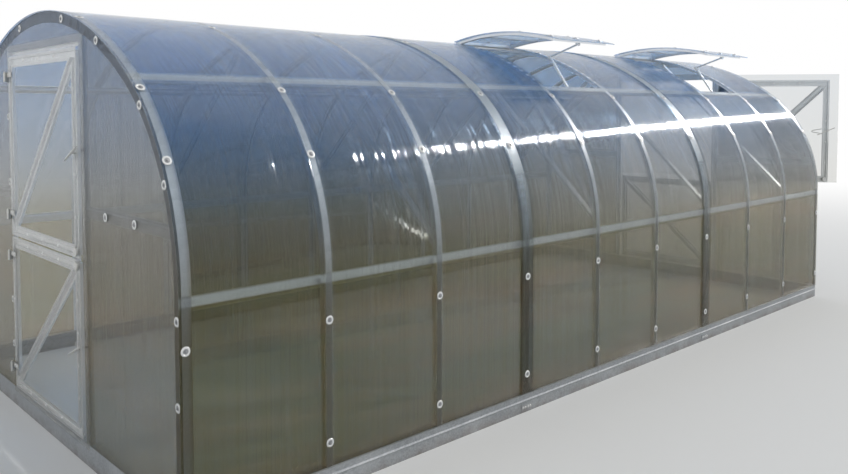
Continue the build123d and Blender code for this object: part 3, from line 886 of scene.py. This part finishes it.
def on_lid(x, angle):
    """Origin and axes on a lid's outside: the crown's centre is turned about the hinge, and
    the normal stands at an angle from the level, turned by as much."""
    centre = np.array([-vent_hinge_y, crown_z - vent_hinge_z])
    lean = angle - vent_turn
    normal = np.array([0, math.cos(lean), math.sin(lean)])
    turned_centre = np.array([
        vent_hinge_y + centre[0] * math.cos(vent_turn) + centre[1] * math.sin(vent_turn),
        vent_hinge_z - centre[0] * math.sin(vent_turn) + centre[1] * math.cos(vent_turn),
    ])
    reach = crown_radius + lid_gap + sheet_thickness
    origin = np.array([x, *turned_centre]) + reach * normal
    return origin, axes_for(normal, (1, 0, 0))


lid_places = [on_lid((vent_bay + 0.5) * bay + way * lid_screw_x, angle)
              for vent_bay in vent_bays for way in (-1, 1) for angle in lid_angles]
lid_places += [on_lid((vent_bay + 0.5) * bay, angle)
               for vent_bay in vent_bays for angle in (lid_angles[0], lid_angles[-1])]
roof_screws("lid", lid_places, "house")

# %% [markdown]
# ## Bolts where bars cross
# The purlins lie against the inside of the arches, flange on flange, and four bolts hold
# each crossing: a head inside the house, and a nut between the arch and the sheet, where
# it shows through as a bright dot. A purlin's flat flanges touch the bent arch at their
# edges only, so at the shoulder it lies lower by the sag of the arc between them. Under the
# flat crown that sag is as small as the gap that is left between seated faces.

# %% Bolts at the crossings
section_depth = 0.020
arch_inner = sheet_thickness + section_depth
seat_gap = 0.0003
half_purlin = 0.030
bolt_reach = 0.023


def inwards(place, across, along):
    """A place shifted on its surface and turned to face into the house."""
    origin, axes = place
    flipped = np.stack([-axes[:, 0], axes[:, 1], -axes[:, 2]], axis=-1)
    return origin + across * axes[:, 0] + along * axes[:, 1], flipped


inner_radius = shoulder_radius - arch_inner
shoulder_sag = inner_radius - math.sqrt(inner_radius ** 2 - half_purlin ** 2)
ridge_sag = seat_gap
mid_drop = arch_inner + steel
upper_drop = arch_inner + shoulder_sag + seat_gap + steel
ridge_drop = arch_inner + ridge_sag + seat_gap + steel
bolt_places = []
for arch in range(1, bay_count):
    x = arch * bay
    crossings = [on_skin(side, x, z=mid_purlin_z, lift=-mid_drop) for side in (-1, 1)]
    crossings += [on_skin(side, x, climb=upper_purlin, lift=-upper_drop) for side in (-1, 1)]
    crossings.append(on_skin(1, x, climb=math.pi / 2, lift=-ridge_drop))
    bolt_places += [inwards(crossing, across, along) for crossing in crossings
                    for across in (-bolt_reach, bolt_reach)
                    for along in (-bolt_reach, bolt_reach)]
set_down("crossing_bolts", bolt, bolt_places, washer_finish, "house")

# %% [markdown]
# ## Bolts at the braces
# A brace runs straight across the shoulder inside every second arch. Near both ends a bolt
# sits on each of its sides, a little way in from where its line meets the arch.

# %% Bolts at the braces
half_brace = 0.020
brace_low_z = 1.0
brace_high_y = 0.33
brace_high_z = crown_z + math.sqrt((crown_radius - arch_inner) ** 2 - brace_high_y ** 2)
brace_low = np.array([half_width - arch_inner, brace_low_z])
brace_high = np.array([brace_high_y, brace_high_z])
brace_run = (brace_high - brace_low) / np.linalg.norm(brace_high - brace_low)
bolt_from_low = 0.045
bolt_from_high = 0.060
brace_spots = (brace_low + bolt_from_low * brace_run, brace_high - bolt_from_high * brace_run)
brace_places = []
for arch in range(2, bay_count, 2):
    for side in (-1, 1):
        for spot in brace_spots:
            for way in (-1, 1):
                origin = np.array([arch * bay + way * half_brace, side * spot[0], spot[1]])
                brace_places.append((origin, axes_for((way, 0, 0), (0, 0, 1))))
set_down("brace_bolts", small_screw, brace_places, washer_finish, "house")

# %% [markdown]
# ## Screws at the hinges
# Each leaf has two hinges. The strap above a hinge's middle is screwed to the leaf and turns
# with it, and the half below the middle is screwed to the house.

# %% Screws at the hinges
hinge_inset = 0.110
knuckle = 0.026
strap_across = (0.034, 0.070)
jamb_y = hinge_y + 0.022
jamb_shifts = (-0.0075, 0.0065)
jamb_places = []
for leaf in rest_turn:
    out = outwards(leaf)
    part = leaf.split("_")[1]
    heights = (leaf_low[part] + hinge_inset, leaf_high[part] - hinge_inset)
    strap_places = [on_leaf(leaf, across, z + knuckle / 2, steel)
                    for z in heights for across in strap_across]
    set_down(leaf + "_hinge_screws", small_screw, strap_places, washer_finish, leaf + "_leaf")
    jamb_places += [on_gable(out, -out * jamb_y, z - knuckle / 2 + shift, 2 * steel)
                    for z in heights for shift in jamb_shifts]
set_down("jamb_hinge_screws", small_screw, jamb_places, washer_finish, "house")

# %% [markdown]
# ## Screws at the rail joints
# The long base rails are joined below the sheets' laps, by a plate with four screws in a row.

# %% Screws at the rail joints
plate_thickness = 0.002
plate_out = half_width + seat_gap + plate_thickness
plate_z = 0.028
plate_screws = (-0.030, -0.012, 0.012, 0.030)
plate_places = []
for side in (-1, 1):
    for arch in lap_arches:
        for along in plate_screws:
            origin = np.array([arch * bay + along, side * plate_out, plate_z])
            plate_places.append((origin, axes_for((0, side, 0), (1, 0, 0))))
set_down("rail_plate_screws", small_screw, plate_places, washer_finish, "house")
